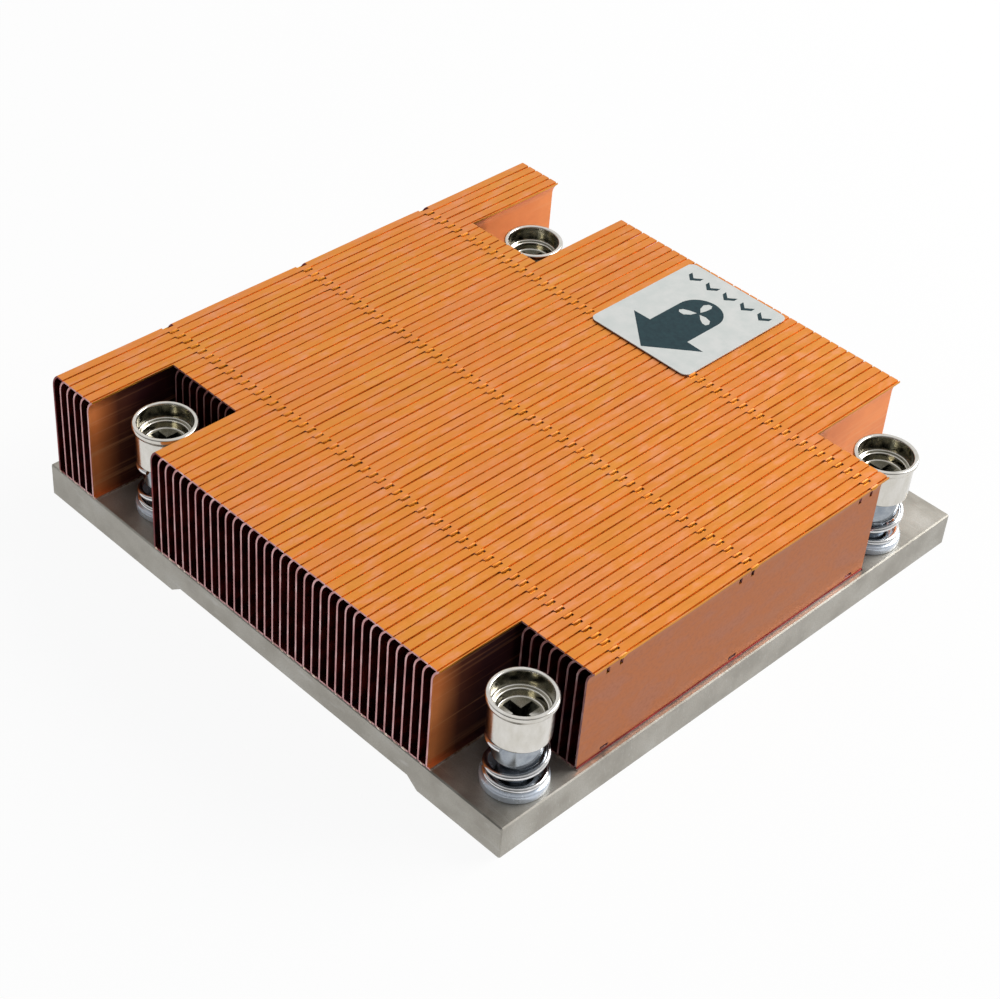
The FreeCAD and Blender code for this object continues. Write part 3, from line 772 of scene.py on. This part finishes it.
def bead(points, faces, x, y, wide, deep, high):
    """A low lump of solder: a dome on an oval outline."""
    start = len(points)
    points.append((x, y, PLATE_TOP + high))
    for out, up in ((0.6, 0.75), (1.0, 0.0)):
        for n in range(BEAD_SIDES):
            a = 2 * math.pi * n / BEAD_SIDES
            points.append((x + wide * out * math.cos(a), y + deep * out * math.sin(a),
                           PLATE_TOP + high * up))
    for n in range(BEAD_SIDES):
        upper, upper_after = start + 1 + n, start + 1 + (n + 1) % BEAD_SIDES
        faces.append((start, upper, upper_after))
        faces.append((upper, upper + BEAD_SIDES, upper_after + BEAD_SIDES, upper_after))


def make_solder():
    """Solder at the fins' feet: beads along the open ends, a fillet beside each open wall."""
    dice = random.Random(7)
    points, faces = [], []
    for index in range(len(FIN_NODES)):
        for y, way in zip(SHORT_SPAN if is_short(index) else FULL_SPAN, (-1, 1)):
            if dice.random() < 0.75:
                bead(points, faces, FIRST_X + PITCH * index + dice.uniform(0.3, 0.9) * MM,
                     y + way * 0.02 * MM, dice.uniform(0.2, 0.5) * MM, 0.07 * MM,
                     dice.uniform(0.15, 0.4) * MM)
    piece("solder_beads", points, faces, (SOLDER,), ROOT)
    walls = [(index, front, back) for index in (RAIL_EDGE, CORE_EDGE)
             for front, back in ((FULL_SPAN[0], SHORT_SPAN[0]), (SHORT_SPAN[1], FULL_SPAN[1]))]
    for number, (index, front, back) in enumerate(walls, start=1):
        x = FIRST_X + PITCH * index + END_FOOT
        steps = round((back - front) / (0.8 * MM))
        sections = []
        for n in range(steps + 1):
            y = front + (back - front) * n / steps
            reach = dice.uniform(0.08, 0.16) * MM
            sections.append([(x, y, PLATE_TOP), (x + reach, y, PLATE_TOP),
                             (x + reach * 0.4, y, PLATE_TOP + 0.12 * MM), (x, y, PLATE_TOP + 0.3 * MM)])
        points, faces = swept(sections)
        piece("solder_fillet_%d" % number, points, faces, (SOLDER,), ROOT, crease=60)


make_solder()


# ------------------------------------------------------------------ screws, springs, washers
HEAD_HEIGHT, HEAD_RADIUS = 6.8 * MM, 4.9 * MM
CUP_DEPTH, LEDGE_DEPTH, CUP_ZONE = 3.9 * MM, 2.6 * MM, 4.25 * MM      # the cup is within CUP_ZONE of the axis
CLIP_TOP, NECK_LENGTH = 4.06 * MM, 0.72 * MM          # the clip sits on the neck, under the shank
CROSS_ARM, CROSS_HALF = 2.8 * MM, 0.75 * MM
CROSS_LEVELS = ((0.5 * MM, 1.1), (-1.8 * MM, 0.55))   # from the cup's floor, and the cross's share there
SPRING_TRAVEL = 3.5 * MM
SEAT_LOW, SEAT_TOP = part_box("spring_seats")[0].z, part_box("spring_seats")[1].z
HEAD_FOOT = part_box("screw_" + SIDES[0])[1].z - HEAD_HEIGHT
COLLAR = HEAD_FOOT - SEAT_TOP - SPRING_TRAVEL - 0.15 * MM      # down to just above a pressed seat
ON_CUP, ON_RECESS, ON_COLLAR = 1, 2, 3                # numbers among a screw's materials


def make_screw(side):
    """Captive screw: rounded cup head with a cross in its floor, collar, shank and thread."""
    node = "screw_" + side
    x, y = axis_of(node)
    tip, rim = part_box(node)[0].z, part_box(node)[1].z
    foot, floor, ledge, neck = rim - HEAD_HEIGHT, rim - CUP_DEPTH, rim - LEDGE_DEPTH, CLIP_TOP - NECK_LENGTH
    profile = [
        (0.0, tip, 0.0), (1.5 * MM, tip, 0.3 * MM), (1.5 * MM, neck, 0.0),
        (1.3 * MM, neck, 0.0), (1.3 * MM, CLIP_TOP, 0.0),
        (2.4 * MM, CLIP_TOP, 0.15 * MM), (2.5 * MM, foot - COLLAR, 0.1 * MM),
        (3.5 * MM, foot - COLLAR, 0.3 * MM), (3.5 * MM, foot, 0.1 * MM),
        (4.42 * MM, foot, 0.35 * MM), (4.46 * MM, rim - 1.4 * MM, 0.4 * MM),
        (HEAD_RADIUS, rim - 0.65 * MM, 0.25 * MM), (HEAD_RADIUS, rim, 0.3 * MM),
        (4.15 * MM, rim, 0.3 * MM), (4.1 * MM, ledge, 0.25 * MM),
        (3.35 * MM, ledge, 0.25 * MM), (3.3 * MM, floor, 0.3 * MM), (0.0, floor, 0.0)]
    points, faces = turned(rounded(profile), x, y, steps=96)
    screw = piece("captive_screw_" + side, points, faces, (NICKEL, CUP, RECESS, COLLAR_METAL),
                  "turn_" + side, [node])
    arm, half = CROSS_ARM, CROSS_HALF
    outline = [(-arm, -half), (-half, -half), (-half, -arm), (half, -arm), (half, -half), (arm, -half),
               (arm, half), (half, half), (half, arm), (-half, arm), (-half, half), (-arm, half)]
    cut(screw, *swept([[(x + u * share, y + v * share, floor + level) for u, v in reversed(outline)]
                       for level, share in CROSS_LEVELS]))
    # The cup, the cross and the collar take materials with shade painted in.
    for face in screw.data.polygons:
        height, out = face.center.z, math.hypot(face.center.x - x, face.center.y - y)
        if out < CUP_ZONE and foot < height < floor - 0.02 * MM:
            face.material_index = ON_RECESS
        elif out < CUP_ZONE and floor < height < rim - 0.3 * MM and face.normal.z < 0.5:
            face.material_index = ON_CUP
        elif height < foot - 0.02 * MM:
            face.material_index = ON_COLLAR
    thread(side, x, y, tip + 0.3 * MM, CLIP_TOP - 0.9 * MM)


def thread(side, x, y, low, high):
    """The screw's thread: a sharp ridge wound up its end."""
    pitch, root, crest, per_turn = 0.7 * MM, 1.45 * MM, 1.75 * MM, 32
    runs = int((high - low) / pitch * per_turn)
    sections = []
    for n in range(runs + 1):
        around = 2 * math.pi * n / per_turn
        z = low + pitch * n / per_turn
        fade = min(1.0, n / 8, (runs - n) / 8)
        out = root + (crest - root) * max(0.05, fade)
        ridge = ((root, -0.42), (out, -0.06), (out, 0.06), (root, 0.42))      # height in pitches
        sections.append([(x + r * math.cos(around), y + r * math.sin(around), z + pitch * h)
                         for r, h in ridge])
    points, faces = swept(sections)
    piece("screw_thread_" + side, points, faces, (NICKEL,), "turn_" + side)


SPRING_START, SPRING_TURNS, CLOSED_TURNS = math.radians(-134), 2.15, 0.75
WIRE_SIDES = 16


def make_spring(side):
    """Compression spring of round wire, its lowest coil closed flat on the washer."""
    node = "spring_" + side
    x, y = axis_of("screw_" + side)
    low, high = SEAT_TOP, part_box("screw_" + side)[1].z - HEAD_HEIGHT
    wire, middle, per_turn = 0.44 * MM, 4.07 * MM, 40      # the wire's radius, and the coil's to its middle
    runs = round(SPRING_TURNS * per_turn)
    rise = high - low - 2 * wire
    sections = []
    for n in range(runs + 1):
        turned_by = SPRING_TURNS * n / runs
        around = SPRING_START + 2 * math.pi * turned_by
        lift = max(0.0, turned_by - CLOSED_TURNS) / (SPRING_TURNS - CLOSED_TURNS)
        z = low + wire + rise * lift
        section = []
        for k in range(WIRE_SIDES):
            a = 2 * math.pi * k / WIRE_SIDES
            r = middle + wire * math.cos(a)
            section.append((x + r * math.cos(around), y + r * math.sin(around), z + wire * math.sin(a)))
        sections.append(section)
    points, faces = swept(sections)
    coil = piece("coil_" + side, points, faces, (WIRE,), ROOT, [node])
    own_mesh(coil)


def make_washer(side):
    """The washer under a spring, with a rounded rim and a sloping edge round its hole."""
    x, y = axis_of("screw_" + side)
    inner, outer, low, high = 2.75 * MM, 4.8 * MM, SEAT_LOW, SEAT_TOP
    profile = [(inner, low, 0), (outer, low, 0.2 * MM), (outer, high - 0.25 * MM, 0.45 * MM),
               (4.2 * MM, high, 0.3 * MM), (3.2 * MM, high, 0.3 * MM), (inner, high - 0.3 * MM, 0)]
    points, faces = turned(rounded(profile), x, y)
    piece("washer_" + side, points, faces, (WASHER,), ROOT, ["spring_seats"])


for side in SIDES:
    make_screw(side)
    make_spring(side)
    make_washer(side)


# ------------------------------------------------------------------ the label's print
PRINT_THICKNESS, PRINT_OVER = 0.012 * MM, 0.014 * MM  # the second is for print that lies on print
VANE_SHAPE = ((0.35, 0.0), (1.2, 0.75), (2.3, 1.05), (3.1, 0.6), (3.2, 0.0), (2.6, -0.35), (1.5, -0.3))
CHEVRON_SHAPE = ((-1.2, 1.0), (0.0, -0.1), (1.2, 1.0), (1.2, 0.15), (0.0, -1.0), (-1.2, 0.15))
CHEVRONS, CHEVRON_PITCH = 5, 3.6 * MM


def print_shape(name, outline, height, material):
    """A flat printed shape on the label, from an outline of (x, y) points."""
    points = [(x, y, z) for z in (height, height + PRINT_THICKNESS) for x, y in outline]
    count = len(outline)
    faces = [tuple(range(count, 2 * count)), tuple(reversed(range(count)))]
    faces += [(n, (n + 1) % count, count + (n + 1) % count, count + n) for n in range(count)]
    piece(name, points, faces, (material,), ROOT)


def make_print():
    """An arrow with a round tail for the way the air goes, a vane on it and a row of chevrons."""
    low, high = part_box("label")
    middle_x, back, top = (low.x + high.x) / 2 + 0.3 * MM, high.y, high.z
    tail_y, shaft, wing = back - 10.2 * MM, 3.9 * MM, 7.2 * MM
    wing_y, tip_y = tail_y - 7.3 * MM, tail_y - 13.6 * MM
    outline = [(middle_x, tip_y), (middle_x + wing, wing_y), (middle_x + shaft, wing_y + 0.1 * MM)]
    for n in range(25):
        a = math.pi * n / 24
        outline.append((middle_x + shaft * math.cos(a), tail_y + shaft * math.sin(a)))
    outline += [(middle_x - shaft, wing_y + 0.1 * MM), (middle_x - wing, wing_y)]
    print_shape("label_arrow", outline, top, INK)
    for number, turn in enumerate((90, 210, 330), start=1):
        print_shape("label_vane_%d" % number, placed(VANE_SHAPE, middle_x, tail_y, math.radians(turn)),
                    top + PRINT_OVER, FILM)
    for number in range(CHEVRONS):
        x = middle_x + (number - CHEVRONS // 2) * CHEVRON_PITCH
        print_shape("label_chevron_%d" % (number + 1), placed(CHEVRON_SHAPE, x, back - 3.2 * MM), top, INK)


def placed(shape, x, y, turn=0.0):
    """The outline of a shape drawn in mm, turned about its origin and put at x, y."""
    cos, sin = math.cos(turn), math.sin(turn)
    return [(x + (u * cos - v * sin) * MM, y + (u * sin + v * cos) * MM) for u, v in reversed(shape)]


make_print()


# ------------------------------------------------------------------ light and floor
def lamp(name, place, size, power, colour):
    """A square lamp that faces the origin."""
    data = bpy.data.lights.new(name, "AREA")
    data.shape, data.size = "SQUARE", size
    data.energy, data.color = power, colour
    obj = bpy.data.objects.new(name, data)
    bpy.context.scene.collection.objects.link(obj)
    obj.location = place
    obj.rotation_euler = (-Vector(place)).to_track_quat("-Z", "Y").to_euler()


def seen_rays(tree):
    """1 for the camera's rays and for mirrored and passing rays, 0 for the light that falls."""
    path = tree.nodes.new("ShaderNodeLightPath")
    total = path.outputs["Is Camera Ray"]
    for name in ("Is Glossy Ray", "Is Transmission Ray"):
        either = tree.nodes.new("ShaderNodeMath")
        either.operation = "MAXIMUM"
        tree.links.new(total, either.inputs[0])
        tree.links.new(path.outputs[name], either.inputs[1])
        total = either.outputs[0]
    return total


BRIGHT_SIDE = (-0.35, 0.80, 0.50)                     # behind the object, up and a little to the left
FILL_COLOUR, FILL_STRENGTH = (0.92, 0.96, 1, 1), 0.35
FLOOR_GREY, FLOOR_OWN_WHITE = 0.95, 0.93
FLOOR_SPAN, FLOOR_DROP = 4.0, 0.02 * MM


def make_world():
    """A pale studio, bright behind the object and dim in front of it."""
    world = bpy.data.worlds.new("studio")
    bpy.context.scene.world = world
    world.use_nodes = True
    tree = world.node_tree
    tree.nodes.clear()
    out = tree.nodes.new("ShaderNodeOutputWorld")
    towards = tree.nodes.new("ShaderNodeVectorMath")
    towards.operation = "DOT_PRODUCT"
    towards.inputs[1].default_value = Vector(BRIGHT_SIDE).normalized()
    tree.links.new(tree.nodes.new("ShaderNodeTexCoord").outputs["Generated"], towards.inputs[0])
    shade = tree.nodes.new("ShaderNodeMapRange")
    for name, value in (("From Min", -0.5), ("From Max", 0.7), ("To Min", 0.12), ("To Max", 0.95)):
        shade.inputs[name].default_value = value
    tree.links.new(towards.outputs["Value"], shade.inputs["Value"])
    seen = tree.nodes.new("ShaderNodeBackground")
    tree.links.new(shade.outputs[0], seen.inputs["Strength"])
    seen.inputs["Color"].default_value = (1, 1, 1, 1)
    fill = tree.nodes.new("ShaderNodeBackground")
    fill.inputs["Color"].default_value = FILL_COLOUR
    fill.inputs["Strength"].default_value = FILL_STRENGTH
    mix = tree.nodes.new("ShaderNodeMixShader")
    tree.links.new(seen_rays(tree), mix.inputs["Fac"])
    tree.links.new(fill.outputs[0], mix.inputs[1])
    tree.links.new(seen.outputs[0], mix.inputs[2])
    tree.links.new(mix.outputs[0], out.inputs["Surface"])


def make_floor():
    """A white floor that keeps the object's shadow: part of it shows the white ground as it is."""
    m = Shader("floor", 0.0, 0.9)
    m.surface.inputs["Base Color"].default_value = (FLOOR_GREY, FLOOR_GREY, FLOOR_GREY, 1)
    white = m.node("ShaderNodeEmission")
    share = m.node("ShaderNodeMath", operation="MULTIPLY")
    share.inputs[1].default_value = FLOOR_OWN_WHITE
    m.link(seen_rays(m.tree), share.inputs[0])
    blend = m.node("ShaderNodeMixShader")
    m.link(share.outputs[0], blend.inputs["Fac"])
    m.link(m.surface.outputs[0], blend.inputs[1])
    m.link(white.outputs[0], blend.inputs[2])
    m.link(blend.outputs[0], m.tree.nodes["Material Output"].inputs["Surface"])
    mesh = bpy.data.meshes.new("floor")
    reach, low = FLOOR_SPAN, cad_box[0][2] - FLOOR_DROP
    mesh.from_pydata([(-reach, -reach, low), (reach, -reach, low), (reach, reach, low), (-reach, reach, low)],
                     [], [(0, 1, 2, 3)])
    mesh.materials.append(m.material)
    floor = bpy.data.objects.new("floor", mesh)
    bpy.context.scene.collection.objects.link(floor)


make_world()
lamp("key", (0.28, 0.62, 0.50), 0.5, 7.0, (1, 0.98, 0.95))
make_floor()
bpy.context.scene.view_settings.view_transform = "Standard"
